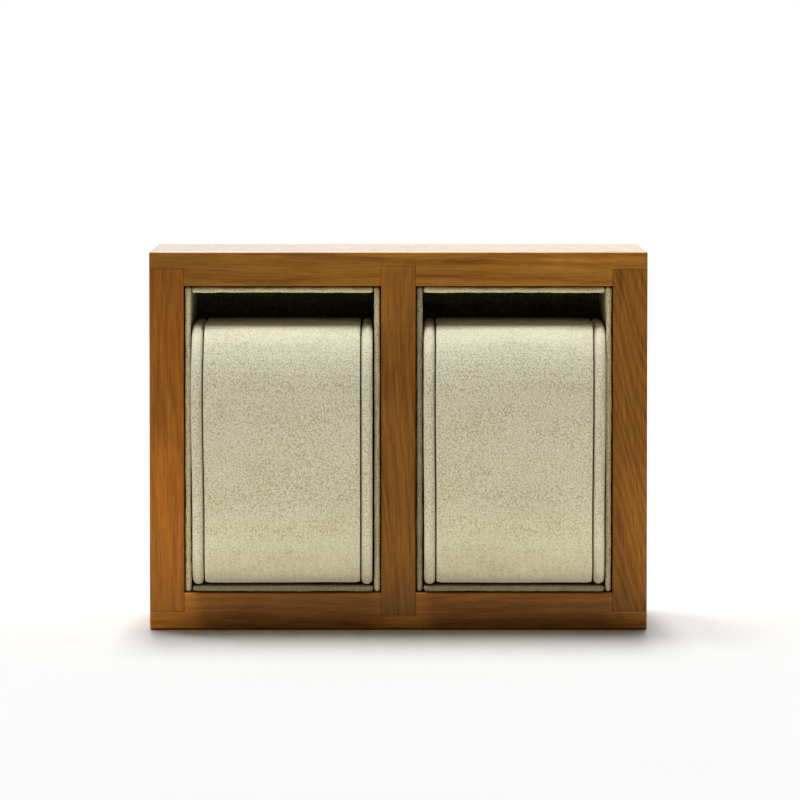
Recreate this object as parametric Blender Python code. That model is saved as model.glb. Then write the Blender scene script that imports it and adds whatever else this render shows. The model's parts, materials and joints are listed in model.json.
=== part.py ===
"""Open-fronted wooden watch stand with two bays, fabric-covered liners and a loose cushion in each bay.

Metres, +Z up, the open front towards -Y. The origin is on the floor, in the middle of the footprint with
the cushions' fronts counted in. The case is two full-width boards that take the three uprights: the sides
in end rebates, the divider in a housing. The back panel lies in a rebate all round.
"""

import math

import bmesh
import bpy
import numpy as np
from mathutils import Vector

# Wooden case
stand_width = 0.130
stand_height = 0.099
stand_depth = 0.060
top_thickness = 0.0090
bottom_thickness = 0.0097
side_thickness = 0.0090
divider_thickness = 0.0090
side_into_top = 0.0044
side_into_bottom = 0.0048
divider_into_top = 0.0052
divider_into_bottom = 0.0058
glue_line = 0.00008
outer_arris_radius = 0.0005
opening_arris_radius = 0.0003
arris_steps = 3

# Back panel and the rebate that it lies in
panel_thickness = 0.0040
panel_lap = 0.0045
panel_clearance = 0.00015

# Liners: card wrapped in fabric, set back a little from the wood's front
liner_thickness = 0.0015
liner_clearance = 0.0003
liner_setback = 0.0008
liner_edge_radius = 0.0006
liner_edge_steps = 3

# Cushions: a saddle-shaped pad between two rounded cheeks
cushion_proud = 0.0060
cushion_clearance = 0.0003
room_above_cushion = 0.0080
room_behind_cushion = 0.0112
cheek_thickness = 0.00285
cheek_edge_radius = 0.0013
seam_clearance = 0.0003
pad_below_cheeks = 0.0003
pad_hollow = 0.0006
pad_edge_radius = 0.0010
front_bow = 0.0012
corner_steps = 7
front_steps = 6
edge_steps = 4
hollow_steps = 8

# Each corner of the cushion's side view as (depth, height) of its quarter ellipse
front_top_corner = (0.0105, 0.0165)
back_top_corner = (0.0080, 0.0080)
back_bottom_corner = (0.0070, 0.0070)
front_bottom_corner = (0.0075, 0.0095)

# How far a cutter runs past the board that it cuts
overrun = 0.002

# Planes that the pieces share
left_x = -stand_width / 2
right_x = stand_width / 2
front_y = -(stand_depth - cushion_proud) / 2
back_y = front_y + stand_depth
panel_front_y = back_y - panel_thickness
floor_z = bottom_thickness
ceiling_z = stand_height - top_thickness
bays = {
    "left": (left_x + side_thickness, -divider_thickness / 2),
    "right": (divider_thickness / 2, right_x - side_thickness),
}


def clear_scene():
    for old in list(bpy.data.objects):
        bpy.data.objects.remove(old)


def finish(name, colour, roughness):
    """One Principled material in a plain colour."""
    material = bpy.data.materials.new(name)
    material.use_nodes = True
    shader = material.node_tree.nodes["Principled BSDF"]
    shader.inputs["Base Color"].default_value = (*colour, 1)
    shader.inputs["Roughness"].default_value = roughness
    shader.inputs["Metallic"].default_value = 0
    return material


def case_wood(name):
    return finish(name + "_wood", (0.22, 0.085, 0.014), 0.4)


def suede(name):
    return finish(name + "_suede", (0.60, 0.56, 0.40), 0.9)


def add_object(name, mesh, location, material):
    piece = bpy.data.objects.new(name, mesh)
    piece.location = location
    mesh.materials.append(material)
    bpy.context.scene.collection.objects.link(piece)
    return piece


def on_line(edge, fixed, along):
    """True if the edge lies on the line with these fixed coordinates, between the two places along it."""
    for axis, value in fixed.items():
        if any(abs(vertex.co["xyz".index(axis)] - value) > 1e-6 for vertex in edge.verts):
            return False
    if along is None:
        return True
    free = next(axis for axis in "xyz" if axis not in fixed)
    middle = sum(vertex.co["xyz".index(free)] for vertex in edge.verts) / 2
    return along[0] < middle < along[1]


def plank(name, low, high, material, eased=(), steps=arris_steps):
    """A board between two corners. Each eased edge is (radius, fixed coordinates, (from, to) or None): an
    edge that is eased over a part of its length stops square there, as at a joint."""
    low, high = Vector(low), Vector(high)
    centre = (low + high) / 2
    shape = bmesh.new()
    bmesh.ops.create_cube(shape, size=1)
    bmesh.ops.scale(shape, vec=high - low, verts=shape.verts)
    bmesh.ops.translate(shape, vec=centre, verts=shape.verts)
    for _, fixed, along in eased:
        free = "xyz".index(next(axis for axis in "xyz" if axis not in fixed))
        for stop in along or ():
            if low[free] + 1e-6 < stop < high[free] - 1e-6:
                point = centre.copy()
                point[free] = stop
                across = Vector((0, 0, 0))
                across[free] = 1
                everything = shape.verts[:] + shape.edges[:] + shape.faces[:]
                bmesh.ops.bisect_plane(shape, geom=everything, plane_co=point, plane_no=across)
    widest = max([radius for radius, _, _ in eased], default=0)
    weight = shape.edges.layers.float.new("bevel_weight_edge")
    for radius, fixed, along in eased:
        for edge in shape.edges:
            if on_line(edge, fixed, along):
                edge[weight] = radius / widest
    bmesh.ops.translate(shape, vec=-centre, verts=shape.verts)
    mesh = bpy.data.meshes.new(name)
    shape.to_mesh(mesh)
    shape.free()
    piece = add_object(name, mesh, centre, material)
    if eased:
        easing = piece.modifiers.new("Eased edges", "BEVEL")
        easing.limit_method = "WEIGHT"
        easing.width = widest
        easing.segments = steps
    return piece


def cutter(name, low, high):
    """A box that only cuts: it isn't part of the stand."""
    tool = plank(name, low, high, finish(name, (1, 0, 0), 1))
    tool.hide_render = True
    tool.display_type = "WIRE"
    return tool


def cut(board, *tools):
    """Takes the cutters out of the board in one go."""
    group = bpy.data.collections.new(board.name + "_cutters")
    for tool in tools:
        group.objects.link(tool)
    joint = board.modifiers.new("Joints", "BOOLEAN")
    joint.operation = "DIFFERENCE"
    joint.solver = "EXACT"
    joint.operand_type = "COLLECTION"
    joint.collection = group


def outer_ends(x):
    """The upright arrises at one outer end of the case, front and back."""
    return [
        (outer_arris_radius, {"x": x, "y": front_y}, None),
        (outer_arris_radius, {"x": x, "y": back_y}, None),
    ]


def full_width_board(name, low_z, high_z, outside_z, inside_z):
    """A board as wide and deep as the stand, with its outer arrises and its opening edge eased."""
    eased = outer_ends(left_x) + outer_ends(right_x)
    eased += [
        (outer_arris_radius, {"y": front_y, "z": outside_z}, None),
        (outer_arris_radius, {"y": back_y, "z": outside_z}, None),
        (outer_arris_radius, {"x": left_x, "z": outside_z}, None),
        (outer_arris_radius, {"x": right_x, "z": outside_z}, None),
        (opening_arris_radius, {"y": front_y, "z": inside_z}, None),
    ]
    return plank(name, (left_x, front_y, low_z), (right_x, back_y, high_z), case_wood(name), eased)


def side_board(name, inner_x, outer_x):
    """An upright at one end: its inner front edge is eased only between the boards that house it."""
    low = (min(inner_x, outer_x), front_y, floor_z - side_into_bottom)
    high = (max(inner_x, outer_x), back_y, ceiling_z + side_into_top)
    eased = outer_ends(outer_x)
    eased.append((opening_arris_radius, {"x": inner_x, "y": front_y}, (floor_z, ceiling_z)))
    return plank(name, low, high, case_wood(name), eased)


def divider_board():
    """The middle upright, which stops at the back panel."""
    low = (-divider_thickness / 2, front_y, floor_z - divider_into_bottom)
    high = (divider_thickness / 2, panel_front_y - panel_clearance, ceiling_z + divider_into_top)
    edges = [{"x": x, "y": front_y} for x in (low[0], high[0])]
    eased = [(opening_arris_radius, fixed, (floor_z, ceiling_z)) for fixed in edges]
    return plank("centre_divider", low, high, case_wood("centre_divider"), eased)


def end_rebate(name, side, board_inside_z, board_outside_z):
    """The cutter that takes a side's end out of a board, open to the end, the front and the back."""
    inner_x, outer_x = side
    outwards = math.copysign(1, outer_x - inner_x)
    up = math.copysign(1, board_outside_z - board_inside_z)
    depth = side_into_top if up > 0 else side_into_bottom
    xs = sorted((inner_x - outwards * glue_line, outer_x + outwards * overrun))
    zs = sorted((board_inside_z - up * overrun, board_inside_z + up * (depth + glue_line)))
    return cutter(name, (xs[0], front_y - overrun, zs[0]), (xs[1], back_y + overrun, zs[1]))


def divider_housing(name, board_inside_z, board_outside_z):
    """The cutter for the divider's housing, which stops where the divider does."""
    up = math.copysign(1, board_outside_z - board_inside_z)
    depth = divider_into_top if up > 0 else divider_into_bottom
    half = divider_thickness / 2 + glue_line
    zs = sorted((board_inside_z - up * overrun, board_inside_z + up * (depth + glue_line)))
    return cutter(name, (-half, front_y - overrun, zs[0]), (half, panel_front_y, zs[1]))


def panel_box(clearance):
    """The back panel's corners, grown by a clearance at its edges and its front."""
    half = stand_width / 2 - side_thickness + panel_lap + clearance
    low = (-half, panel_front_y - clearance, floor_z - panel_lap - clearance)
    high = (half, back_y, ceiling_z + panel_lap + clearance)
    return low, high


def back_panel():
    low, high = panel_box(0)
    eased = [(opening_arris_radius, {"x": x, "y": back_y}, None) for x in (low[0], high[0])]
    eased += [(opening_arris_radius, {"y": back_y, "z": z}, None) for z in (low[2], high[2])]
    return plank("back_panel", low, high, case_wood("back_panel"), eased)


def panel_pocket():
    """The cutter for the rebate that the back panel lies in, open to the back."""
    low, high = panel_box(panel_clearance)
    return cutter("back_panel_pocket", low, (high[0], back_y + overrun, high[2]))


def wooden_case():
    """Six boards: top, bottom, two sides, divider and back, cut to lie in each other."""
    sides = {
        "left": (left_x + side_thickness, left_x),
        "right": (right_x - side_thickness, right_x),
    }
    pocket = panel_pocket()
    for name, inside_z, outside_z in (("top", ceiling_z, stand_height), ("bottom", floor_z, 0)):
        low_z, high_z = sorted((inside_z, outside_z))
        board = full_width_board(name + "_board", low_z, high_z, outside_z, inside_z)
        rebates = [
            end_rebate(f"{name}_{end}_rebate", side, inside_z, outside_z) for end, side in sides.items()
        ]
        housing = divider_housing(name + "_housing", inside_z, outside_z)
        cut(board, *rebates, housing, pocket)
    for end, (inner_x, outer_x) in sides.items():
        cut(side_board(end + "_side", inner_x, outer_x), pocket)
    divider_board()
    back_panel()


def liner(name, low, high, lip=()):
    """A covered card. Its lip lines, each given by its fixed coordinates, are rounded over."""
    eased = [(liner_edge_radius, fixed, None) for fixed in lip]
    return plank(name, low, high, suede(name), eased, liner_edge_steps)


def bay_room(bay):
    """The corners of the clear room inside a bay's liners: what the cushion stands in."""
    left, right = bays[bay]
    wall = liner_clearance + liner_thickness
    low = Vector((left + wall, front_y + liner_setback, floor_z + wall))
    high = Vector((right - wall, panel_front_y - wall, ceiling_z - wall))
    return low, high


def bay_liners(bay):
    """Five covered cards: the sides run from floor to ceiling, and the top and bottom butt between them."""
    low, high = bay_room(bay)
    left, right = bays[bay][0] + liner_clearance, bays[bay][1] - liner_clearance
    bottom, top = floor_z + liner_clearance, ceiling_z - liner_clearance
    lip_y, stop_y = low.y, high.y - liner_clearance
    liner(bay + "_back_liner", (left, high.y, bottom), (right, high.y + liner_thickness, top))
    for side, x_low, x_high in (("left", left, low.x), ("right", high.x, right)):
        lip = [{"x": x_low, "y": lip_y}, {"x": x_high, "y": lip_y}]
        liner(f"{bay}_{side}_liner", (x_low, lip_y, bottom), (x_high, stop_y, top), lip)
    butt_left, butt_right = low.x + liner_clearance, high.x - liner_clearance
    for side, z_low, z_high in (("bottom", bottom, low.z), ("top", high.z, top)):
        lip = [{"y": lip_y, "z": z_low}, {"y": lip_y, "z": z_high}]
        corners = (butt_left, lip_y, z_low), (butt_right, stop_y, z_high)
        liner(f"{bay}_{side}_liner", *corners, lip)


def quarter(centre, radii, start):
    """Points of a quarter ellipse in the side view, anticlockwise seen from +X, from a start angle."""
    angles = start + np.linspace(0, math.pi / 2, corner_steps + 1)
    return np.stack((centre[0] + radii[0] * np.cos(angles), centre[1] + radii[1] * np.sin(angles)), axis=1)


def cushion_outline(bay):
    """The cushion's side view as points (y, z): a rectangle with four elliptical corners, its front bowed
    out by a half sine from bottom to top, most at the foremost points and not at all at the back."""
    low, high = bay_room(bay)
    front = front_y - cushion_proud + front_bow
    back = high.y - room_behind_cushion
    bottom = low.z + cushion_clearance
    top = high.z - room_above_cushion
    corners = (
        (back_top_corner, back, top, 0),
        (front_top_corner, front, top, math.pi / 2),
        (front_bottom_corner, front, bottom, math.pi),
        (back_bottom_corner, back, bottom, 1.5 * math.pi),
    )
    rows = []
    for (depth, height), y, z, start in corners:
        centre_y = y - depth if y == back else y + depth
        centre_z = z - height if z == top else z + height
        rows.append(quarter((centre_y, centre_z), (depth, height), start))
        if (y, z) == (front, top):
            straight = np.linspace(top - height, bottom + front_bottom_corner[1], front_steps + 1)[1:-1]
            rows.append(np.stack((np.full_like(straight, front), straight), axis=1))
    points = np.concatenate(rows)
    forwardness = np.clip((back - points[:, 0]) / (back - front), 0, 1) ** 3
    rise = np.clip((points[:, 1] - bottom) / (top - bottom), 0, 1)
    points[:, 0] -= front_bow * forwardness * np.sin(math.pi * rise)
    return points


def outward_normals(points):
    """Unit normals of a closed outline that runs anticlockwise."""
    along = np.roll(points, -1, axis=0) - np.roll(points, 1, axis=0)
    normals = np.stack((along[:, 1], -along[:, 0]), axis=1)
    return normals / np.linalg.norm(normals, axis=1, keepdims=True)


def rounded_ends(half, radius):
    """Stations (x, inset) for a slab whose rim is rounded: the inset follows a quarter circle at each end."""
    angles = np.linspace(0, math.pi / 2, edge_steps + 1)
    inner = half - radius + radius * np.sin(angles)
    inset = radius * (1 - np.cos(angles))
    return np.stack((inner, inset), axis=1)


def symmetric(stations):
    """The stations of one half and, before them, their mirror images."""
    mirrored = stations[::-1] * (-1, 1)
    return np.concatenate((mirrored[: -1 if stations[0, 0] == 0 else None], stations))


def loft(name, outline, stations, centre, material):
    """A closed body through copies of the outline, one at each station along X, drawn in by its inset."""
    normals = outward_normals(outline)
    middle = (outline.min(axis=0) + outline.max(axis=0)) / 2
    shape = bmesh.new()
    rings = []
    for x, inset in stations:
        ring = outline - inset * normals - middle
        rings.append([shape.verts.new((x, y, z)) for y, z in ring])
    for first, second in zip(rings, rings[1:]):
        for i in range(len(outline)):
            j = (i + 1) % len(outline)
            shape.faces.new((first[i], first[j], second[j], second[i]))
    shape.faces.new(rings[0])
    shape.faces.new(rings[-1])
    bmesh.ops.recalc_face_normals(shape, faces=shape.faces)
    mesh = bpy.data.meshes.new(name)
    shape.to_mesh(mesh)
    shape.free()
    mesh.shade_smooth()
    mesh.set_sharp_from_angle(angle=math.radians(50))
    return add_object(name, mesh, (centre, middle[0], middle[1]), material)


def cheek(name, outline, centre):
    stations = symmetric(rounded_ends(cheek_thickness / 2, cheek_edge_radius))
    return loft(name, outline, stations, centre, suede(name))


def pad(name, outline, half, centre):
    """The pad between the cheeks: hollow across its width by a parabola, its rim rounded."""
    rim = rounded_ends(half, pad_edge_radius)
    across = np.linspace(0, rim[0, 0], hollow_steps // 2 + 1)[:-1]
    stations = np.concatenate((np.stack((across, np.zeros_like(across)), axis=1), rim))
    stations[:, 1] += pad_below_cheeks + pad_hollow * (1 - (stations[:, 0] / half) ** 2)
    return loft(name, outline, symmetric(stations), centre, suede(name))


def cushion(bay):
    """A pad and its two cheeks, standing loose on the bay's floor liner."""
    low, high = bay_room(bay)
    centre = (low.x + high.x) / 2
    outline = cushion_outline(bay)
    half = (high.x - low.x) / 2 - cushion_clearance
    cheek_x = half - cheek_thickness / 2
    cheek(bay + "_cushion_left_cheek", outline, centre - cheek_x)
    cheek(bay + "_cushion_right_cheek", outline, centre + cheek_x)
    pad(bay + "_cushion_pad", outline, half - cheek_thickness - seam_clearance, centre)


def build():
    clear_scene()
    wooden_case()
    for bay in bays:
        bay_liners(bay)
        cushion(bay)


build()
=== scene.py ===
"""Dresses the watch stand: wood on its boards, suede over its liners and cushions, and a plain studio.

Metres, +Z up, the open front towards -Y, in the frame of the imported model. Shader patterns are in
millimetres, worked out from Object coordinates, so they stay where they are on each piece.
"""

import itertools
import json
import math

import bpy
import numpy as np
from bpy.props import FloatProperty, FloatVectorProperty, IntProperty, PointerProperty
from bpy.types import Operator, Panel, PropertyGroup
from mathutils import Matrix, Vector

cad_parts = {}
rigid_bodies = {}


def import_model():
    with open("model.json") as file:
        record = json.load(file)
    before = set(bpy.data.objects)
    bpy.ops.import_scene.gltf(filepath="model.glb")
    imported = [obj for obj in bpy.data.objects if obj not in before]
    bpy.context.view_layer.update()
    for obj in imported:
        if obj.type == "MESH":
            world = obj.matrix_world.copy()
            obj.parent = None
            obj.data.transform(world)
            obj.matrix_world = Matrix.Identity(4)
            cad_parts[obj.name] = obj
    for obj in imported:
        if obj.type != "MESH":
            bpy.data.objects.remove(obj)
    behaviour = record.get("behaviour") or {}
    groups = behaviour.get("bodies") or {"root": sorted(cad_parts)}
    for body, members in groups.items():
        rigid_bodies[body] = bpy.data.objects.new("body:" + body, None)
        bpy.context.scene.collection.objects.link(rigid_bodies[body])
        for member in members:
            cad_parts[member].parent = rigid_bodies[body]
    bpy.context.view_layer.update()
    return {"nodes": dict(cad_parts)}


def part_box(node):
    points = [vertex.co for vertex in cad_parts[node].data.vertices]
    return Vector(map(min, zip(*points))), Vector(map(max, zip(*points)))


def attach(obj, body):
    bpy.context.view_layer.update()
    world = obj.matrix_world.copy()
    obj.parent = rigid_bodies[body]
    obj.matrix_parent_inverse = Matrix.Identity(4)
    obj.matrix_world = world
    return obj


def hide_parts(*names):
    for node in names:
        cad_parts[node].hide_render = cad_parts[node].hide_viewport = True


bl_info = {
    "name": "Watch Stand",
    "version": (1, 0, 0),
    "blender": (4, 5, 0),
    "location": "3D View > Sidebar > Watch Stand",
    "description": "Finishes a two-bay wooden watch stand with lined bays and loose cushions",
    "category": "Object",
}

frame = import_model()

MM = 0.001
BAYS = ("left", "right")
SIDES = ("left", "right")

# How each board was sawn: the axis its grain runs along, the log's centre seen from the board as
# (across the face, into the depth) in millimetres, how far the rings lean from the board's length, how
# strongly they show, how light the board is, how much lighter at its far end, how much painted light
# lightens its near end's last three centimetres, and how red
BOARD_FIELDS = ("grain", "pith", "lean", "figure", "light", "rise", "lit_near_end", "red")
BOARDS = {
    "top_board": ("X", (58, 34), 0.02, 0.30, 0.97, 0.23, 0.0, -0.2),
    "bottom_board": ("X", (-52, 30), -0.02, 0.18, 0.93, 0.0, 0.7, 0.4),
    "left_side": ("Z", (40, 22), 0.02, 0.16, 0.92, -0.42, 0.0, 0.7),
    "right_side": ("Z", (-30, 26), 0.45, 0.26, 0.73, 0.0, 0.0, 0.15),
    "centre_divider": ("Z", (34, -20), 0.06, 0.20, 0.74, 0.10, 0.0, 0.15),
    "back_panel": ("X", (70, 40), 0.0, 0.25, 0.95, 0.0, 0.0, 0.05),
}

# The sizes of the wood's patterns: how many features a millimetre holds along the grain, across it and
# into the board
WOOD_DRIFT = (0.012, 0.05, 0.05)
WOOD_RIPPLE = (0.04, 0.14, 0.14)
WOOD_PATCHES = (0.04, 0.12, 0.12)
WOOD_STREAKS = (0.016, 0.8, 0.8)
WOOD_FIBRES = (0.11, 2.6, 2.6)
WOOD_PORES = (0.3, 3.6, 3.6)
RING_PACE = (0.22, 1.0, 1.0)

# How far the rings wander with the drift and the ripple, in millimetres, by how many rings their spacing
# strays, and how much thinner than a plain wave the late wood is
DRIFT_WANDER = 20.0
RIPPLE_WANDER = 2.4
PACE_STRAY = 2.2
RING_SHARPNESS = 1.25

# How far apart the boards' pieces of the log lie, in millimetres, and the tone between late and early wood
# that their patterns play about
LOG_STEP = 137.0
WOOD_TONE = 0.63

# Where the painted light on the bottom board's near end begins, and where it is lightest, in millimetres
LIT_NEAR_END = (-34.0, -64.0)

# How far below the top face its polished skin begins, and from where it is whole, in millimetres. The skin
# has the full clear coat and the top tint, which is painted shade
TOP_SKIN_AND_SHADE = (0.25, 0.05)

# The suede's patterns in the same way, along the nap and across it, and its brush strokes along X, Y
# and Z
NAP_FUZZ = (2.8, 4.4, 4.4)
NAP_CLUSTERS = (0.5, 0.8, 0.8)
NAP_PATCHES = (0.07, 0.07, 0.07)
BRUSH_STROKES = (0.9, 0.9, 0.08)

# How far the nap is turned from level, in radians
NAP_TURNS = {"pad": 0.6, "cheek": 0.5, "liner": 0.4}

# The tone between deep and standing nap that the cloth's patterns play about
NAP_TONE = 0.52

# A cushion's bottom and top bands are painted lighter, a painted light, with lower tufts and faint strokes:
# wholly up to the first height of each pair, and not at all past the second, in millimetres
BRUSHED_AND_LIT_BOTTOM = (16.0, 36.0)
BRUSHED_AND_LIT_TOP = (79.0, 67.0)

# The liners' cloth against the cushions': warmer and a little lighter. Some cards are darker: on the
# back and bottom cards this is painted shade, as they lie in the bays' shade, and the right bay's left card
# is darker as well
LINER_TINT = (1.0, 0.92, 0.73)
LINER_TONE = 1.07
LINER_TONES_AND_SHADE = {
    "right_left_liner": 0.56,
    "left_bottom_liner": 0.66,
    "right_bottom_liner": 0.64,
    "left_back_liner": 0.55,
    "right_back_liner": 0.55,
}

# The cushion's side view: how deep and how high each rounded corner is, and how far the front bows out
CUSHION_CORNERS = {
    ("back", "top"): (0.0080, 0.0080),
    ("front", "top"): (0.0105, 0.0165),
    ("front", "bottom"): (0.0075, 0.0095),
    ("back", "bottom"): (0.0070, 0.0070),
}
FRONT_BOW = 0.0012

# Points round the cushion's side view as it is drawn, and as a cheek and a pad take it, and how many times
# its corners are then softened
FINE_POINTS = 900
CHEEK_POINTS = 300
PAD_POINTS = 240
CORNER_SOFTENING = 4

# How deep a cheek's rounded rim is, measured in from its outline, and the clearance that a pad keeps from
# the cheek at each seam
CHEEK_RIM_DEPTH = 1.5 * MM
SEAM_CLEARANCE = 0.03 * MM

# The rings of a pad from its middle to one rim, how far the first lies from the middle, and how close the
# last may come to the rim
PAD_RINGS = 26
FIRST_RING = 0.4 * MM
LAST_RING_GAP = 0.3 * MM

# The share of a card's thickness that its edges are rounded by, and the size of its quads
CARD_ROUNDING = 0.49
CARD_PITCH = 0.55 * MM

# How far in a cover and a cheek start, so that their swells stay inside the solids they stand for
COVER_INSET = 0.04 * MM
CHEEK_INSET = 0.05 * MM

# Swells of the cloth as (height, size from bend to bend)
COVER_SWELLS = ((0.10 * MM, 1.3 * MM), (0.07 * MM, 9 * MM))
CHEEK_SWELLS = ((0.05 * MM, 1.3 * MM), (0.10 * MM, 11 * MM))
PAD_SWELL = (0.12 * MM, 14 * MM)
SEAM_SWAY = (0.25 * MM, 30 * MM)

# Seeds of the noise in each bay's left and right cheek
CHEEK_SEEDS = {"left": (31, 32), "right": (33, 34)}

# The studio's lights: (width, length), place, aim and colour. Their powers are in the stage's settings
STUDIO_LIGHTS = {
    "overhead": ((0.9, 3.6), (-0.02, 2.3, 5.6), (0, 0, 0), (1, 1, 1)),
    "side": ((1.0, 2.0), (-1.1, 1.8, 5.2), (0, 0, 0), (1, 1, 1)),
    "key": ((0.75, 0.6), (-0.2, -0.3, 2.0), (0, 0, 0.05), (1, 1, 1)),
    "bounce": ((0.3, 0.03), (0, -0.062, 0.002), (0, -0.062, 1), (1.0, 0.92, 0.72)),
}

# The floor's half width, half depth and how far its middle lies towards the camera
FLOOR_SIZE = (2.5, 2.2, 0.7)
FLOOR_SQUARES = 8


def node_corners(node):
    """A node's lowest and highest corner as arrays."""
    low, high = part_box(node)
    return np.array(low), np.array(high)


# Shader maths


class Socket:
    """An output socket that takes part in Python arithmetic: each expression adds its Math node."""

    def __init__(self, graph, output):
        self.graph = graph
        self.output = output

    def math(self, operation, *others):
        return self.graph.math(operation, self, *others)

    def __add__(self, other):
        return self.math("ADD", other)

    def __sub__(self, other):
        return self.math("SUBTRACT", other)

    def __rsub__(self, other):
        return self.graph.math("SUBTRACT", other, self)

    def __mul__(self, other):
        return self.math("MULTIPLY", other)

    def __truediv__(self, other):
        return self.math("DIVIDE", other)

    def __pow__(self, other):
        return self.math("POWER", other)

    __radd__ = __add__
    __rmul__ = __mul__


class Graph:
    """A node tree that is written as expressions."""

    def __init__(self, tree):
        self.tree = tree

    def node(self, kind, settings=None, sockets=None, output=0):
        """Adds a node, sets it up, then fills its sockets with values or links, by name or by number."""
        made = self.tree.nodes.new(kind)
        for name, value in (settings or {}).items():
            if name == "stops":
                self.set_stops(made.color_ramp.elements, value)
            else:
                setattr(made, name, value)
        for name, value in (sockets or {}).items():
            if isinstance(value, Socket):
                self.tree.links.new(value.output, made.inputs[name])
            else:
                made.inputs[name].default_value = value
        return Socket(self, made.outputs[output]) if made.outputs else None

    @staticmethod
    def set_stops(elements, stops):
        while len(elements) < len(stops):
            elements.new(1)
        for element, (place, colour) in zip(elements, stops):
            element.position = place
            element.color = (*colour, 1)

    def math(self, operation, *values):
        return self.node("ShaderNodeMath", {"operation": operation}, dict(enumerate(values)))

    def vector(self, operation, first, second):
        """Vector Math on two vectors, or with SCALE on a vector and a number."""
        other = 3 if operation == "SCALE" else 1
        return self.node("ShaderNodeVectorMath", {"operation": operation}, {0: first, other: second})

    def parts(self, vector):
        """The three numbers of a vector."""
        split = self.node("ShaderNodeSeparateXYZ", {}, {0: vector}).output.node
        return [Socket(self, output) for output in split.outputs]

    def join(self, x, y, z):
        return self.node("ShaderNodeCombineXYZ", {}, {0: x, 1: y, 2: z})

    def noise(self, vector, scales, detail=1.0, roughness=0.5):
        """Fractal noise about 0.5, with this many features to a unit along each axis."""
        sockets = {
            "Vector": self.vector("MULTIPLY", vector, scales),
            "Scale": 1.0,
            "Detail": detail,
            "Roughness": roughness,
        }
        return self.node("ShaderNodeTexNoise", {}, sockets)

    def ramp(self, factor, *stops):
        return self.node("ShaderNodeValToRGB", {"stops": stops}, {0: factor})

    def mix(self, factor, first, second, blend="MIX"):
        """Two colours mixed by a factor, or the first one blended with the second."""
        settings = {"data_type": "RGBA", "blend_type": blend}
        return self.node("ShaderNodeMix", settings, {0: factor, 6: first, 7: second}, 2)

    def smooth(self, value, low, high):
        """0 below low, 1 above high, and a smooth step between them."""
        settings = {"interpolation_type": "SMOOTHSTEP"}
        return self.node("ShaderNodeMapRange", settings, {0: value, 1: low, 2: high})

    def millimetres(self):
        """The piece's Object coordinates in millimetres."""
        place = self.node("ShaderNodeTexCoord", output=3)
        return self.vector("MULTIPLY", place, (1 / MM,) * 3)


def new_material(name, constants):
    """A material with only a Principled shader, and its graph. Constants go straight onto its sockets."""
    material = bpy.data.materials.new(name)
    material.use_nodes = True
    shader = material.node_tree.nodes["Principled BSDF"]
    for socket, value in constants.items():
        shader.inputs[socket].default_value = value
    return material, Graph(material.node_tree), shader


def connect(graph, shader, **sockets):
    """Links what varies over the surface: base_color, roughness, coat_weight and normal."""
    names = {
        "base_color": "Base Color",
        "roughness": "Roughness",
        "coat_weight": "Coat Weight",
        "normal": "Normal",
    }
    for key, value in sockets.items():
        graph.tree.links.new(value.output, shader.inputs[names[key]])


def grey(value):
    return (value, value, value)


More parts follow.
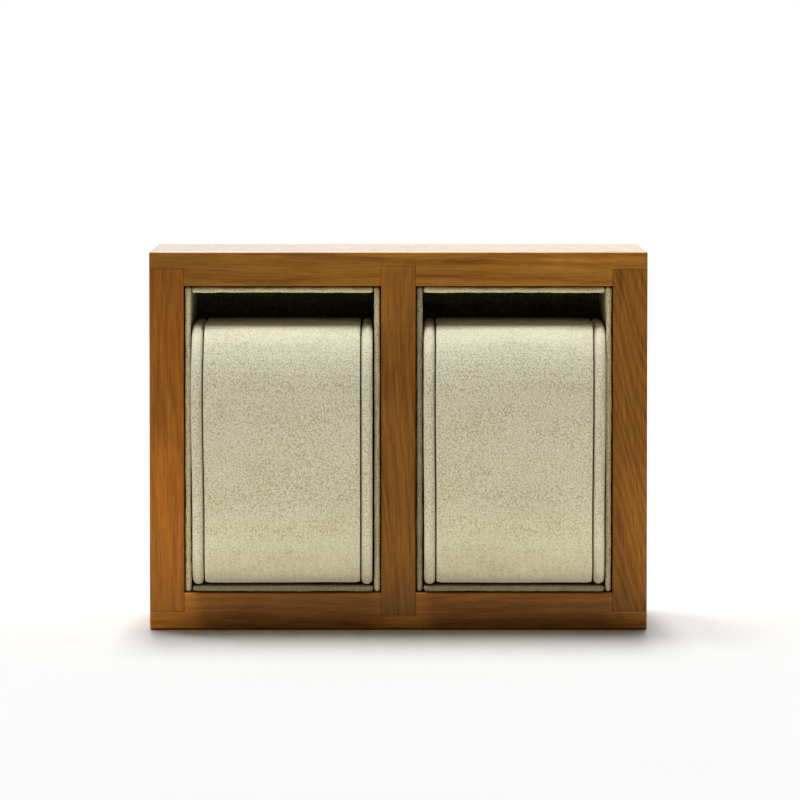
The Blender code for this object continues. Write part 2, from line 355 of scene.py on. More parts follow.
def wood_material(name, board, number, look):
    """Oiled wood, sawn from one log in its own place.

    Rings: the distance from the log's centre line, warped slowly along the grain, over the ring spacing,
    as a sine raised to a power, so that the late wood is a thinner darker line. Fibres, streaks and pores
    are noise drawn out along the grain, and patches are the same noise, broader. The polished skin of the
    top has a calmer grain and the full clear coat, and its top tint is painted shade, darkening the top
    face and taking out some red.
    """
    constants = {"Specular IOR Level": look.gloss, "Coat Roughness": 0.25, "Coat IOR": 1.6}
    material, graph, shader = new_material(name, constants)
    x, y, z = graph.parts(graph.millimetres())
    top = node_corners("top_board")[1][2] / MM
    along, across = (x, z) if board["grain"] == "X" else (z, x)
    shift = LOG_STEP * number
    grain = graph.join(along + shift, across, y)

    drift = graph.noise(grain, WOOD_DRIFT)
    ripple = graph.noise(grain, WOOD_RIPPLE, 2.0)
    warp = (drift - 0.5) * DRIFT_WANDER + (ripple - 0.5) * RIPPLE_WANDER + along * board["lean"]
    from_pith = ((across - board["pith"][0] + warp) ** 2 + (y - board["pith"][1]) ** 2) ** 0.5
    pace = graph.noise(graph.join(from_pith, shift, 0.0), RING_PACE)
    phase = from_pith / (look.ring_spacing / MM) + (pace - 0.5) * PACE_STRAY
    ring = ((phase * math.tau).math("SINE") * 0.5 + 0.5) ** RING_SHARPNESS

    bent = graph.join(along + shift, across + warp * 0.15, y)
    fibre = graph.noise(bent, WOOD_FIBRES, 3.0, 0.65)
    streak = graph.noise(bent, WOOD_STREAKS, 2.0, 0.6)
    patch = graph.noise(grain, WOOD_PATCHES, 2.0)
    pore = graph.smooth(graph.noise(grain, WOOD_PORES), 0.60, 0.72)

    topmost = graph.smooth(z, top - TOP_SKIN_AND_SHADE[0], top - TOP_SKIN_AND_SHADE[1])
    depth = (fibre - 0.5) * 1.2 + (streak - 0.5) * 0.7 + (patch - 0.5) * 0.8 - ring * board["figure"]
    depth = depth * (1.0 - topmost * 0.4) + WOOD_TONE
    colour = graph.ramp(
        depth,
        (0.0, tuple(look.late_colour)),
        (0.5, tuple(look.colour)),
        (1.0, tuple(look.early_colour)),
    )
    redness = graph.smooth(streak * 0.6 + patch * 0.4, 0.40, 0.66) * 0.5 + board["red"]
    colour = graph.mix(redness, colour, (*look.red_tint, 1), "MULTIPLY")
    colour = graph.mix(pore * (0.45 - topmost * 0.3), colour, (*look.late_colour, 1))
    lightness = along * (0.01 * board["rise"]) + (board["light"] - 0.5 * board["rise"])
    # Painted light: the bottom board is lightened towards its near end, beyond the cushions' shade
    lightness = lightness + graph.smooth(along, *LIT_NEAR_END) * board["lit_near_end"]
    colour = graph.vector("SCALE", colour, lightness)
    # The top tint is painted shade: it darkens the top face and takes out some red
    colour = graph.mix(topmost, colour, (*look.top_shade_tint, 1), "MULTIPLY")

    height = (fibre * 0.5 + streak * 0.3 - pore * 0.8 - ring * 0.15) * (1.0 - topmost * 0.85)
    relief = {"Strength": 0.3, "Distance": 0.04 * MM, "Height": height}
    connect(
        graph,
        shader,
        base_color=colour,
        roughness=(fibre - 0.5) * 0.2 + pore * 0.15 + look.roughness,
        coat_weight=topmost * (look.coat - look.rubbed_coat) + look.rubbed_coat,
        normal=graph.node("ShaderNodeBump", {}, relief),
    )
    return material


def suede_material(name, look, number, nap_turn, tint=(1.0, 1.0, 1.0), brushed_and_lit=False):
    """Suede-like microfibre, its nap turned in the face's plane.

    Tufts: one to a cell, falling with the distance from the cell's own point, in cells drawn out along the
    nap, plus finer noise for the fuzz. Their colour is painted shade, dark between the tufts and light at
    their middles, besides the bump. Clusters of tufts and broad patches are noise too. At a cushion's top
    and bottom bands the tufts stand lower and their painted shade is fainter, faint upright strokes run over
    them, and the colour is painted lighter there, a painted light.
    """
    constants = {
        "Specular IOR Level": 0.15,
        "Sheen Weight": look.sheen,
        "Sheen Roughness": 0.45,
        "Sheen Tint": (1.0, 0.97, 0.9, 1),
    }
    material, graph, shader = new_material(name, constants)
    turn = {"Vector": graph.millimetres(), "Axis": (0, 1, 0), "Angle": nap_turn}
    place = graph.node("ShaderNodeVectorRotate", {"rotation_type": "AXIS_ANGLE"}, turn)
    place = graph.vector("ADD", place, (31.0 * number, 17.0 * number, 0))
    fine = 1 / (look.nap_size / MM)
    cells = graph.vector("MULTIPLY", place, (fine * 0.75, fine, fine))
    from_tuft = graph.node("ShaderNodeTexVoronoi", {}, {"Vector": cells, "Scale": 1.0, "Randomness": 0.85})
    fuzz = graph.noise(place, NAP_FUZZ, 0.6) - 0.5
    tufts = (0.52 - from_tuft) * 0.85 + fuzz * 0.25
    strokes_and_painted_light = 0.0
    # Painted light: a cushion's top and bottom bands are painted lighter, under faint upright strokes
    if brushed_and_lit:
        millimetres = graph.millimetres()
        level = graph.parts(millimetres)[2]
        brushed_lit_band = 1.0 - graph.smooth(level, *BRUSHED_AND_LIT_BOTTOM) * graph.smooth(level, *BRUSHED_AND_LIT_TOP)
        tufts = tufts * (1.0 - brushed_lit_band * 0.5)
        strokes = graph.noise(millimetres, BRUSH_STROKES)
        strokes_and_painted_light = brushed_lit_band * ((strokes - 0.5) * 0.5 + 0.15)
    clusters = graph.noise(place, NAP_CLUSTERS)
    patches = graph.noise(place, NAP_PATCHES, 2.0)

    # The tufts' colour is painted shade: dark between them, light at their middles
    tone_and_shade = tufts * 2.3 + (clusters - 0.5) * 0.06 + (patches - 0.5) * 0.3 + NAP_TONE + strokes_and_painted_light
    colour = graph.ramp(tone_and_shade, (0.15, tuple(look.deep_tone_and_shade)), (0.85, tuple(look.colour)))
    colour = graph.vector("MULTIPLY", colour, tint)
    height = tufts + clusters * 0.15
    relief = {"Strength": look.nap_strength, "Distance": look.nap_height, "Height": height}
    bump = graph.node("ShaderNodeBump", {}, relief)
    connect(graph, shader, base_color=colour, roughness=tufts * 0.2 + 0.9, normal=bump)
    return material


# Surfaces worked out as whole arrays


def add_piece(name, points, faces, material, smooth=True):
    """A mesh object at the origin from points (n, 3) and faces (m, 4) or (m, 3)."""
    mesh = bpy.data.meshes.new(name)
    mesh.from_pydata(points, [], faces)
    mesh.polygons.foreach_set("use_smooth", np.full(len(faces), smooth))
    mesh.materials.append(material)
    mesh.update()
    piece = bpy.data.objects.new(name, mesh)
    bpy.context.scene.collection.objects.link(piece)
    return piece


def stand_for(piece, node):
    """The piece takes the node's place, on the only body."""
    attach(piece, "root")
    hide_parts(node)


def lattice_value(cell, seed):
    """A repeatable number in [0, 1) for each whole-number lattice point, from an integer hash."""
    mask = np.uint64(0xFFFFFFFF)
    primes = np.array([374761393, 668265263, 2246822519], np.uint64)
    mixed = (cell.astype(np.int64).astype(np.uint64) & mask) * primes & mask
    total = (mixed.sum(axis=-1) + np.uint64(seed * 974634777)) & mask
    total = (total ^ (total >> np.uint64(13))) * np.uint64(1274126177) & mask
    return ((total ^ (total >> np.uint64(16))) & mask).astype(float) / 2.0**32


def wander(points, size, seed):
    """Smooth noise in [-1, 1] with features of the given size: lattice values blended along each axis by
    3t^2 - 2t^3."""
    scaled = points / size
    cell = np.floor(scaled)
    part = scaled - cell
    blend = part * part * (3 - 2 * part)
    total = np.zeros(len(points))
    for corner in itertools.product((0, 1), repeat=3):
        share = np.prod(np.where(np.array(corner) == 1, blend, 1 - blend), axis=1)
        total += share * lattice_value(cell + corner, seed)
    return total * 2 - 1


def swelling(points, swells, seeds):
    """The sum of several sizes of smooth noise at the points, each as high as its swell says."""
    total = np.zeros(len(points))
    for (height, size), seed in zip(swells, seeds):
        total += height * wander(points, size, seed)
    return total


def rim_stops(low, high, radius, pitch, rim_steps):
    """Places along one side of a slab: close together over each rounded rim, a pitch apart between."""
    rim = np.linspace(0, radius, rim_steps + 1)
    middle = np.linspace(low + radius, high - radius, max(2, round((high - low - 2 * radius) / pitch)))
    return np.concatenate((low + rim[:-1], middle, high - rim[:-1][::-1]))


def slab_grid(stops):
    """Points and quads of the six sides of a box whose lattice has these stops along X, Y and Z.

    Each side is a grid, its points named by their lattice number, so shared edges are merged by number.
    """
    counts = np.array([len(places) for places in stops])
    strides = np.array([1, counts[0], counts[0] * counts[1]])
    quads = []
    for axis in range(3):
        first, second = (axis + 1) % 3, (axis + 2) % 3
        i, j = np.meshgrid(np.arange(counts[first]), np.arange(counts[second]), indexing="ij")
        for end in (0, 1):
            number = i * strides[first] + j * strides[second] + end * (counts[axis] - 1) * strides[axis]
            corners = number[:-1, :-1], number[1:, :-1], number[1:, 1:], number[:-1, 1:]
            side = np.stack(corners, axis=-1).reshape(-1, 4)
            quads.append(side if end else side[:, ::-1])
    numbers, faces = np.unique(np.concatenate(quads), return_inverse=True)
    index = numbers[:, None] // strides % counts
    points = np.stack([np.array(stops[axis])[index[:, axis]] for axis in range(3)], axis=1)
    return points, faces.reshape(-1, 4)


def rounded_slab(low, high, radius, pitch, rim_steps=5):
    """A slab with all its edges rounded. Each point of the box goes to its nearest point of the inner box,
    which is the box less the radius all round, plus the radius along the way between the two.

    Returns points, outward directions and faces."""
    stops = [rim_stops(low[axis], high[axis], radius, pitch, rim_steps) for axis in range(3)]
    box, faces = slab_grid(stops)
    core = np.clip(box, low + radius, high - radius)
    away = box - core
    away /= np.linalg.norm(away, axis=1, keepdims=True)
    return core + away * radius, away, faces


# The cushion's side view


def cushion_outline(low, high):
    """The cushion's side view as points (y, z), anticlockwise seen from +X: a rectangle with a quarter
    ellipse at each corner, its front bowed out by a half sine from bottom to top."""
    front, back = low[1] + FRONT_BOW, high[1]
    bottom, top = low[2], high[2]
    rows = []
    for number, ((side, level), (depth, height)) in enumerate(CUSHION_CORNERS.items()):
        angle = np.linspace(0, math.pi / 2, 61) + number * math.pi / 2
        centre_y = back - depth if side == "back" else front + depth
        centre_z = top - height if level == "top" else bottom + height
        rows.append(np.stack((centre_y + depth * np.cos(angle), centre_z + height * np.sin(angle)), axis=1))
    outline = even_outline(np.concatenate(rows), FINE_POINTS, 0)
    forwardness = np.clip((back - outline[:, 0]) / (back - front), 0, 1) ** 3
    rise = np.clip((outline[:, 1] - bottom) / (top - bottom), 0, 1)
    outline[:, 0] -= FRONT_BOW * forwardness * np.sin(math.pi * rise)
    return outline


def even_outline(outline, count, softening):
    """The outline at equal steps along its length, its corners softened by a running average."""
    closed = np.concatenate((outline, outline[:1]))
    length = np.concatenate(([0], np.cumsum(np.linalg.norm(np.diff(closed, axis=0), axis=1))))
    places = np.linspace(0, length[-1], count + 1)[:-1]
    even = np.stack([np.interp(places, length, closed[:, axis]) for axis in range(2)], axis=1)
    for _ in range(softening):
        even = (np.roll(even, 1, axis=0) + 2 * even + np.roll(even, -1, axis=0)) / 4
    return even


def outline_normals(outline):
    along = np.roll(outline, -1, axis=0) - np.roll(outline, 1, axis=0)
    normals = np.stack((along[:, 1], -along[:, 0]), axis=1)
    return normals / np.linalg.norm(normals, axis=1, keepdims=True)


def loft_points(outline, stations):
    """Rings of the outline at each (x, inset) station, drawn in along the outline's normals."""
    normals = outline_normals(outline)
    x, inset = stations[:, 0], stations[:, 1]
    rings = outline[None] - inset[:, None, None] * normals[None]
    across = np.broadcast_to(x[:, None, None], (*rings.shape[:2], 1))
    return np.concatenate((across, rings), axis=2)


def loft_faces(rings, around):
    """Quads between neighbouring rings of this many points."""
    i, j = np.meshgrid(np.arange(rings - 1), np.arange(around), indexing="ij")
    turned = (j + 1) % around
    corners = i * around + j, i * around + turned, (i + 1) * around + turned, (i + 1) * around + j
    return np.stack(corners, axis=-1).reshape(-1, 4)


def closed_loft(outline, stations):
    """The loft's points and faces. Each end is closed over by two slightly smaller rings and a ladder of
    quads between the points that face each other across the last one."""
    rings = loft_points(outline, stations)
    shares = np.array((0.985, 0.95))[:, None, None]
    first, last = (ring.mean(axis=0) * (1 - shares) + ring * shares for ring in rings[[0, -1]])
    rings = np.concatenate((first[::-1], rings, last))
    count, around = rings.shape[:2]
    rung = np.arange(around // 2 - 1)
    ladder = np.stack((rung, rung + 1, around - 2 - rung, around - 1 - rung), axis=1)
    ends = ladder[:, ::-1], ladder + (count - 1) * around
    return rings.reshape(-1, 3), np.concatenate((loft_faces(count, around), *ends))


def mirrored(stations):
    """The stations of the right half with their mirror images before them."""
    return np.concatenate((stations[::-1] * (-1, 1), stations))


def from_axis(points, low, high):
    """Unit directions to the points from the cushion's axis, which runs along X through its middle."""
    centre = (low + high) / 2
    away = points - (0, centre[1], centre[2])
    away[:, 0] = 0
    return away / np.maximum(np.linalg.norm(away, axis=1, keepdims=True), 1e-9)


def seam_sway(z, seed):
    """How far a seam strays sideways at the heights z, as smooth noise."""
    height, size = SEAM_SWAY
    return height * wander(np.stack((np.zeros_like(z), np.zeros_like(z), z), axis=1), size, seed)


# Pieces


class WoodLook(PropertyGroup):
    colour: FloatVectorProperty(
        name="Wood",
        description="The wood's middle colour",
        subtype="COLOR",
        default=(0.345, 0.138, 0.0142),
        min=0,
        max=1,
    )
    late_colour: FloatVectorProperty(
        name="Late wood",
        description="The colour of the rings' dark lines and of the pores",
        subtype="COLOR",
        default=(0.17, 0.058, 0.0055),
        min=0,
        max=1,
    )
    early_colour: FloatVectorProperty(
        name="Early wood",
        description="The lightest colour between the rings",
        subtype="COLOR",
        default=(0.50, 0.224, 0.032),
        min=0,
        max=1,
    )
    red_tint: FloatVectorProperty(
        name="Red tint",
        description="What the redder stretches of wood are multiplied by",
        subtype="COLOR",
        default=(1.0, 0.80, 0.62),
        min=0,
        max=1,
    )
    # Painted shade: the top face is darkened and made less red by this tint
    top_shade_tint: FloatVectorProperty(
        name="Top tint",
        description="What the top face's wood is multiplied by, darker and less red than the rest",
        subtype="COLOR",
        default=(0.60, 0.69, 0.60),
        min=0,
        max=1,
    )
    ring_spacing: FloatProperty(
        name="Ring spacing",
        description="The distance from one growth ring to the next",
        subtype="DISTANCE",
        default=2.4 * MM,
        min=0.3 * MM,
        max=10 * MM,
    )
    roughness: FloatProperty(
        name="Roughness",
        description="The finish's roughness",
        subtype="FACTOR",
        default=0.46,
        min=0,
        max=1,
    )
    gloss: FloatProperty(
        name="Gloss",
        description="The finish's specular level",
        subtype="FACTOR",
        default=0.08,
        min=0,
        max=1,
    )
    coat: FloatProperty(
        name="Coat",
        description="The weight of the clear coat on the top",
        subtype="FACTOR",
        default=1.0,
        min=0,
        max=1,
    )
    rubbed_coat: FloatProperty(
        name="Rubbed coat",
        description="The weight of the clear coat below the top, where it is rubbed down",
        subtype="FACTOR",
        default=0.12,
        min=0,
        max=1,
    )


class SuedeLook(PropertyGroup):
    colour: FloatVectorProperty(
        name="Nap",
        description="The colour where the nap stands",
        subtype="COLOR",
        default=(0.752, 0.732, 0.555),
        min=0,
        max=1,
    )
    # Painted shade: this colour is painted between the tufts, and it is also the darker end of the cloth's
    # random tone
    deep_tone_and_shade: FloatVectorProperty(
        name="Base",
        description="The colour deep between the fibres",
        subtype="COLOR",
        default=(0.475, 0.432, 0.268),
        min=0,
        max=1,
    )
    nap_size: FloatProperty(
        name="Nap size",
        description="The width of a tuft of nap",
        subtype="DISTANCE",
        default=0.32 * MM,
        min=0.1 * MM,
        max=3 * MM,
    )
    nap_height: FloatProperty(
        name="Nap height",
        description="How high the tufts stand",
        subtype="DISTANCE",
        default=0.25 * MM,
        min=0,
        max=1 * MM,
    )
    nap_strength: FloatProperty(
        name="Nap strength",
        description="How strongly the tufts turn the surface",
        subtype="FACTOR",
        default=1.0,
        min=0,
        max=1,
    )
    sheen: FloatProperty(
        name="Sheen",
        description="The weight of the fibres' sheen",
        subtype="FACTOR",
        default=0.5,
        min=0,
        max=1,
    )


class CushionShape(PropertyGroup):
    rim_radius: FloatProperty(
        name="Pad rim",
        description="The radius that the pad's fabric turns in with at the seams",
        subtype="DISTANCE",
        default=1.1 * MM,
        min=0.2 * MM,
        max=5 * MM,
    )
    tautness: FloatProperty(
        name="Tautness",
        description="How much the pad's fabric is cut shorter than the foam under it",
        subtype="FACTOR",
        default=0.012,
        min=0,
        max=0.2,
    )
    pad_lift: FloatProperty(
        name="Pad lift",
        description="How much higher than the cheeks the pad sits",
        subtype="DISTANCE",
        default=0.18 * MM,
        min=0,
        max=2 * MM,
    )
    pad_swell: FloatProperty(
        name="Pad swell",
        description="How far the pad stands out past the cheeks at its seams",
        subtype="DISTANCE",
        default=0.3 * MM,
        min=0,
        max=2 * MM,
    )
    foam_pressure: FloatProperty(
        name="Foam pressure",
        description="How hard the foam pushes outwards",
        default=0.6,
        min=0,
        max=20,
    )
    most_travel: FloatProperty(
        name="Most travel",
        description="The furthest that the fabric may move as it settles",
        subtype="DISTANCE",
        default=0.45 * MM,
        min=0,
        max=10 * MM,
    )
    settle_frames: IntProperty(
        name="Settle frames",
        description="How long the fabric is left to settle",
        default=20,
        min=1,
        max=100,
    )


class StageSetup(PropertyGroup):
    camera_distance: FloatProperty(
        name="Camera distance",
        description="From the camera to the plane of the case's front",
        subtype="DISTANCE",
        default=1.54,
        min=0.2,
        max=10,
    )
    camera_height: FloatProperty(
        name="Camera height",
        description="The camera's height above the floor",
        subtype="DISTANCE",
        default=0.1515,
        min=0,
        max=5,
    )
    camera_pitch: FloatProperty(
        name="Camera pitch",
        description="How far the camera looks down",
        subtype="ANGLE",
        default=math.radians(3.391),
        min=-1.5,
        max=1.5,
    )
    lens: FloatProperty(
        name="Lens",
        description="Focal length in millimetres on a 36 mm frame",
        default=265.9,
        min=10,
        max=1000,
    )
    aim_across: FloatProperty(
        name="Aim across",
        description="How far the camera stands to the right of the case's middle",
        subtype="DISTANCE",
        default=0.00043,
        min=-1,
        max=1,
    )
    overhead: FloatProperty(
        name="Overhead light",
        description="Power of the big softbox over and behind the stand",
        default=318,
        min=0,
        max=2000,
    )
    side: FloatProperty(
        name="Side light",
        description="Power of the softbox over and behind the stand's left",
        default=66,
        min=0,
        max=2000,
    )
    key: FloatProperty(
        name="Key light",
        description="Power of the softbox over the stand's front",
        default=54,
        min=0,
        max=1000,
    )
    bounce: FloatProperty(
        name="Bounce card",
        description="Power of the bounce card low in front",
        default=0.058,
        min=0,
        max=10,
    )
    front_room: FloatProperty(
        name="Room in front",
        description="Light from the room behind the camera",
        default=0.035,
        min=0,
        max=5,
    )
    back_wall: FloatProperty(
        name="Wall behind",
        description="Light from the white wall behind the stand",
        default=1.10,
        min=0,
        max=5,
    )


class WATCHSTAND_OT_finish_boards(Operator):
    """Gives each board its own grain: the case's solids keep their shape"""

    bl_idname = "watch_stand.finish_boards"
    bl_label = "Finish Boards"

    def execute(self, context):
        look = context.scene.watch_stand_wood
        for number, (node, values) in enumerate(BOARDS.items(), 1):
            board = dict(zip(BOARD_FIELDS, values))
            material = wood_material(node + "_wood", board, number, look)
            piece = frame["nodes"][node]
            piece.data.materials.clear()
            piece.data.materials.append(material)
        return {"FINISHED"}


def covered_card(node, material, seed):
    """A card wrapped in suede: a slab rounded by all but half its thickness, whose cover swells and thins
    a little in two sizes of smooth noise, as glued cloth does."""
    low, high = node_corners(node)
    thin = (high - low).min()
    points, away, faces = rounded_slab(low, high, CARD_ROUNDING * thin, CARD_PITCH)
    swell = swelling(points, COVER_SWELLS, (seed, seed + 50))
    points = points + away * (swell - COVER_INSET)[:, None]
    piece = add_piece(node + "_cover", points, faces, material)
    stand_for(piece, node)


class WATCHSTAND_OT_cover_liners(Operator):
    """Makes the covered cards that line both bays"""

    bl_idname = "watch_stand.cover_liners"
    bl_label = "Cover Liners"

    def execute(self, context):
        look = context.scene.watch_stand_suede
        for number, bay in enumerate(BAYS):
            for place, side in enumerate(("top", "bottom", "left", "right", "back")):
                node = f"{bay}_{side}_liner"
                seed = 10 * number + place
                # Some liner tones are painted shade: the back and bottom cards are darkened
                tint = [LINER_TONES_AND_SHADE.get(node, LINER_TONE) * part for part in LINER_TINT]
                material = suede_material(node + "_suede", look, 7 + seed, NAP_TURNS["liner"], tint)
                covered_card(node, material, seed)
        return {"FINISHED"}


def make_cheek(node, material, seed):
    """A cheek: the cushion's outline in rings across its thickness, each drawn in so that the rim is a half
    ellipse, swelling and thinning a little in two sizes of smooth noise."""
    low, high = node_corners(node)
    middle, half = (low[0] + high[0]) / 2, (high[0] - low[0]) / 2
    outline = even_outline(cushion_outline(low, high), CHEEK_POINTS, CORNER_SOFTENING)
    angle = np.linspace(0, math.pi / 2, 11)
    rim = np.stack((half * np.sin(angle) ** 0.9, CHEEK_RIM_DEPTH * (1 - np.cos(angle))), axis=1)
    points, faces = closed_loft(outline, mirrored(rim[1:]))
    swell = swelling(points, CHEEK_SWELLS, (seed, seed + 60))
    points = points + from_axis(points, low, high) * (swell - CHEEK_INSET)[:, None] + (middle, 0, 0)
    points[:, 0] += seam_sway(points[:, 2], seed)
    piece = add_piece(node.replace("_cheek", "_padded_cheek"), points, faces, material)
    stand_for(piece, node)


class WATCHSTAND_OT_make_cheeks(Operator):
    """Makes the rounded cheeks at both sides of each cushion"""

    bl_idname = "watch_stand.make_cheeks"
    bl_label = "Make Cheeks"

    def execute(self, context):
        look = context.scene.watch_stand_suede
        for number, bay in enumerate(BAYS):
            for place, side in enumerate(SIDES):
                node = f"{bay}_cushion_{side}_cheek"
                cloth = 3 + 2 * number + place
                material = suede_material(node + "_suede", look, cloth, NAP_TURNS["cheek"], brushed_and_lit=True)
                make_cheek(node, material, CHEEK_SEEDS[bay][place])
        return {"FINISHED"}


def settle_fabric(piece, pinned, shape):
    """Lets the pad's fabric settle: cloth, cut short by the tautness, held at the pinned points, pushed out
    by the foam and free of gravity. It works ten times as large, where Blender's cloth is steady, and no
    point ends further from its start than the most travel."""
    scene = bpy.context.scene
    larger = 10.0
    count = len(piece.data.vertices)
    start = np.zeros(count * 3, np.float32)
    piece.data.vertices.foreach_get("co", start)
    piece.data.vertices.foreach_set("co", start * larger)
    group = piece.vertex_groups.new(name="seams")
    group.add(np.flatnonzero(pinned).tolist(), 1.0, "REPLACE")
    cloth = piece.modifiers.new("Fabric", "CLOTH")
    settings = cloth.settings
    settings.quality = 6
    settings.mass = 0.2
    settings.tension_stiffness = settings.compression_stiffness = 40
    settings.shear_stiffness = 20
    settings.bending_stiffness = 2.0
    settings.tension_damping = settings.compression_damping = 15
    settings.air_damping = 8
    settings.shrink_min = shape.tautness
    settings.use_pressure = True
    settings.uniform_pressure_force = shape.foam_pressure
    settings.vertex_group_mass = group.name
    settings.effector_weights.gravity = 0
    cloth.collision_settings.use_collision = False
    cloth.collision_settings.use_self_collision = False
    cloth.point_cache.frame_start = 1
    cloth.point_cache.frame_end = shape.settle_frames
    for number in range(1, shape.settle_frames + 1):
        scene.frame_set(number)
    settled = piece.evaluated_get(bpy.context.evaluated_depsgraph_get()).to_mesh()
    end = np.zeros(count * 3, np.float32)
    settled.vertices.foreach_get("co", end)
    piece.evaluated_get(bpy.context.evaluated_depsgraph_get()).to_mesh_clear()
    piece.modifiers.remove(cloth)
    piece.vertex_groups.remove(group)
    scene.frame_set(1)
    travel = (end / larger - start).reshape(-1, 3)
    if not np.isfinite(travel).all():
        raise RuntimeError(f"{piece.name}: the fabric didn't settle")
    length = np.linalg.norm(travel, axis=1, keepdims=True)
    travel *= np.minimum(1, shape.most_travel / np.maximum(length, 1e-9))
    print("fabric moved by up to", round(float(length.max()) / MM, 3), "mm on", piece.name)
    piece.data.vertices.foreach_set("co", (start.reshape(-1, 3) + travel).astype(np.float32).ravel())
    piece.data.update()


def make_pad(node, cheek_node, material, shape, seed, seam_seeds):
    """A pad: the cushion's outline, turned in at both seams, then left to settle as taut cloth. Its seams
    stray with the cheeks beside them."""
    low, high = node_corners(node)
    middle, half = (low[0] + high[0]) / 2, (high[0] - low[0]) / 2 - SEAM_CLEARANCE
    outline = even_outline(cushion_outline(*node_corners(cheek_node)), PAD_POINTS, CORNER_SOFTENING)
    angle = np.linspace(0, math.pi / 2, 7)
    rim_x = half - shape.rim_radius + shape.rim_radius * np.sin(angle)
    rim = np.stack((rim_x, shape.rim_radius * (1 - np.cos(angle))), axis=1)
    across = np.linspace(0, rim_x[0], PAD_RINGS + 1)[:-1] + FIRST_RING
    across = across[across < rim_x[0] - LAST_RING_GAP]
    flat = np.stack((across, np.zeros_like(across)), axis=1)
    stations = mirrored(np.concatenate((flat, rim)))
    stations[:, 1] -= shape.pad_swell
    points, faces = closed_loft(outline, stations)
    pinned = np.abs(points[:, 0]) > rim_x[3]
    piece = add_piece(node.replace("_pad", "_padded_body"), points, faces, material)
    settle_fabric(piece, pinned, shape)
    points = np.zeros(len(points) * 3, np.float32)
    piece.data.vertices.foreach_get("co", points)
    points = points.reshape(-1, 3).astype(float)
    swell = swelling(points, (PAD_SWELL,), (seed,))
    points += from_axis(points, low, high) * swell[:, None] + (0, 0, shape.pad_lift)
    share = np.clip(points[:, 0] / half, -1, 1) * 0.5 + 0.5
    sways = [seam_sway(points[:, 2], seam_seed) for seam_seed in seam_seeds]
    points[:, 0] += middle + (1 - share) * sways[0] + share * sways[1]
    piece.data.vertices.foreach_set("co", points.astype(np.float32).ravel())
    piece.data.update()
    smoother = piece.modifiers.new("Smooth", "SUBSURF")
    smoother.levels = smoother.render_levels = 1
    stand_for(piece, node)


class WATCHSTAND_OT_make_pads(Operator):
    """Makes the cushions' pads, their fabric settled by simulation"""

    bl_idname = "watch_stand.make_pads"
    bl_label = "Make Pads"

    def execute(self, context):
        look = context.scene.watch_stand_suede
        shape = context.scene.watch_stand_cushion
        for number, bay in enumerate(BAYS):
            node = f"{bay}_cushion_pad"
            material = suede_material(node + "_suede", look, 1 + number, NAP_TURNS["pad"], brushed_and_lit=True)
            make_pad(node, f"{bay}_cushion_left_cheek", material, shape, 71 + number, CHEEK_SEEDS[bay])
        return {"FINISHED"}


def floor_material():
    """White paper with the faintest mottle."""
    material, graph, shader = new_material("studio_floor", {"Specular IOR Level": 0.1, "Roughness": 0.9})
    mottle = graph.noise(graph.millimetres(), grey(0.01))
    colour = graph.ramp(mottle, (0.3, grey(0.89)), (0.7, grey(0.9)))
    connect(graph, shader, base_color=colour)
    return material


def studio_floor():
    """A flat sheet of floor, far wider than the stand. Behind it the white background takes over."""
    half_width, half_depth, forward = FLOOR_SIZE
    row = FLOOR_SQUARES + 1
    steps = np.linspace(-1, 1, row)
    x, y = np.meshgrid(steps * half_width, steps * half_depth - forward, indexing="ij")
    points = np.stack((x, y, np.zeros_like(x)), axis=-1).reshape(-1, 3)
    i, j = np.meshgrid(np.arange(FLOOR_SQUARES), np.arange(FLOOR_SQUARES), indexing="ij")
    first = i * row + j
    faces = np.stack((first, first + row, first + row + 1, first + 1), axis=-1).reshape(-1, 4)
    floor = add_piece("studio_floor", points, faces, floor_material(), smooth=False)


def studio_world(setup):
    """A white wall behind the stand and a dim room elsewhere, blended by how far a ray points to the back
    and upwards. What the camera sees past the floor is plain white."""
    world = bpy.data.worlds.new("studio")
    world.use_nodes = True
    bpy.context.scene.world = world
    graph = Graph(world.node_tree)
    background = world.node_tree.nodes["Background"]
    background.inputs["Color"].default_value = (1, 1, 1, 1)
    _, towards_back, upwards = graph.parts(graph.node("ShaderNodeTexCoord", output=0))
    wall = graph.smooth(towards_back, 0.0, 0.5) * graph.smooth(upwards, 0.75, 0.35)
    light = wall * (setup.back_wall - setup.front_room) + setup.front_room
    seen = graph.node("ShaderNodeLightPath", output=0)
    strength = light + seen * (1.0 - light)
    world.node_tree.links.new(strength.output, background.inputs["Strength"])


def softbox(name, power, size, place, aim, colour):
    """A rectangular light, facing its aim."""
    data = bpy.data.lights.new(name, "AREA")
    data.energy = power
    data.color = colour
    data.shape = "RECTANGLE"
    data.size, data.size_y = size
    light = bpy.data.objects.new(name, data)
    light.location = place
    light.rotation_euler = (Vector(aim) - Vector(place)).to_track_quat("-Z", "Y").to_euler()
    bpy.context.scene.collection.objects.link(light)
    return light


def studio_camera(setup):
    """The photograph's camera: square on, a little above the stand, looking slightly down."""
    low, _ = node_corners("top_board")
    data = bpy.data.cameras.new("camera")
    data.lens = setup.lens
    data.sensor_width = 36
    camera = bpy.data.objects.new("camera", data)
    camera.location = (setup.aim_across, low[1] - setup.camera_distance, setup.camera_height)
    camera.rotation_euler = (math.pi / 2 - setup.camera_pitch, 0, 0)
    bpy.context.scene.collection.objects.link(camera)
    bpy.context.scene.camera = camera


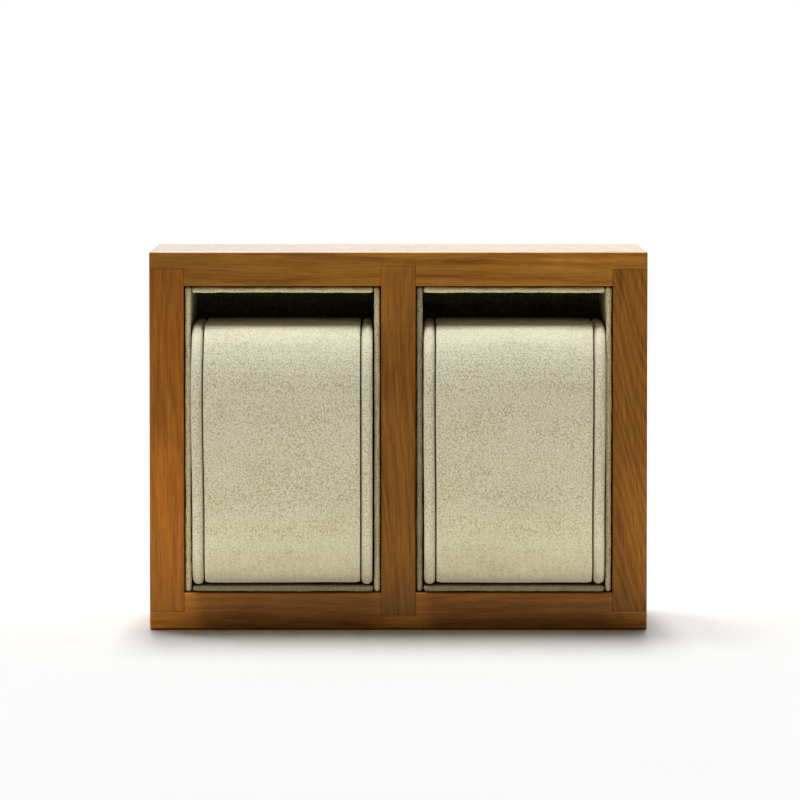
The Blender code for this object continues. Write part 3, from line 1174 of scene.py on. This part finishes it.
class WATCHSTAND_OT_set_stage(Operator):
    """Sets the floor, the lights and the camera"""

    bl_idname = "watch_stand.set_stage"
    bl_label = "Set Stage"

    def execute(self, context):
        setup = context.scene.watch_stand_stage
        studio_floor()
        studio_world(setup)
        lights = {}
        for name, values in STUDIO_LIGHTS.items():
            lights[name] = softbox(name, getattr(setup, name), *values)
        lights["bounce"].visible_camera = False
        stand = bpy.data.collections.new("stand")
        for piece in context.scene.objects:
            if piece.type == "MESH" and piece.name != "studio_floor":
                stand.objects.link(piece)
        for name in ("key", "bounce"):
            lights[name].light_linking.receiver_collection = stand
        studio_camera(setup)
        context.scene.view_settings.view_transform = "Standard"
        return {"FINISHED"}


class WATCHSTAND_PT_sidebar(Panel):
    """Lists the stand's settings and the steps that make it"""

    bl_label = "Watch Stand"
    bl_idname = "WATCHSTAND_PT_sidebar"
    bl_space_type = "VIEW_3D"
    bl_region_type = "UI"
    bl_category = "Watch Stand"

    def draw(self, context):
        for operator, group in STEPS:
            box = self.layout.box()
            box.operator(operator)
            settings = getattr(context.scene, group)
            for name in settings.__annotations__:
                box.prop(settings, name)


STEPS = (
    ("watch_stand.finish_boards", "watch_stand_wood"),
    ("watch_stand.cover_liners", "watch_stand_suede"),
    ("watch_stand.make_cheeks", "watch_stand_suede"),
    ("watch_stand.make_pads", "watch_stand_cushion"),
    ("watch_stand.set_stage", "watch_stand_stage"),
)

SETTINGS = {
    "watch_stand_wood": WoodLook,
    "watch_stand_suede": SuedeLook,
    "watch_stand_cushion": CushionShape,
    "watch_stand_stage": StageSetup,
}

CLASSES = (
    WoodLook,
    SuedeLook,
    CushionShape,
    StageSetup,
    WATCHSTAND_OT_finish_boards,
    WATCHSTAND_OT_cover_liners,
    WATCHSTAND_OT_make_cheeks,
    WATCHSTAND_OT_make_pads,
    WATCHSTAND_OT_set_stage,
    WATCHSTAND_PT_sidebar,
)


def register():
    for kind in CLASSES:
        bpy.utils.register_class(kind)
    for name, group in SETTINGS.items():
        setattr(bpy.types.Scene, name, PointerProperty(type=group))


def unregister():
    for name in SETTINGS:
        delattr(bpy.types.Scene, name)
    for kind in reversed(CLASSES):
        bpy.utils.unregister_class(kind)


def main():
    register()
    bpy.ops.watch_stand.finish_boards()
    bpy.ops.watch_stand.cover_liners()
    bpy.ops.watch_stand.make_cheeks()
    bpy.ops.watch_stand.make_pads()
    bpy.ops.watch_stand.set_stage()


if __name__ == "__main__":
    main()
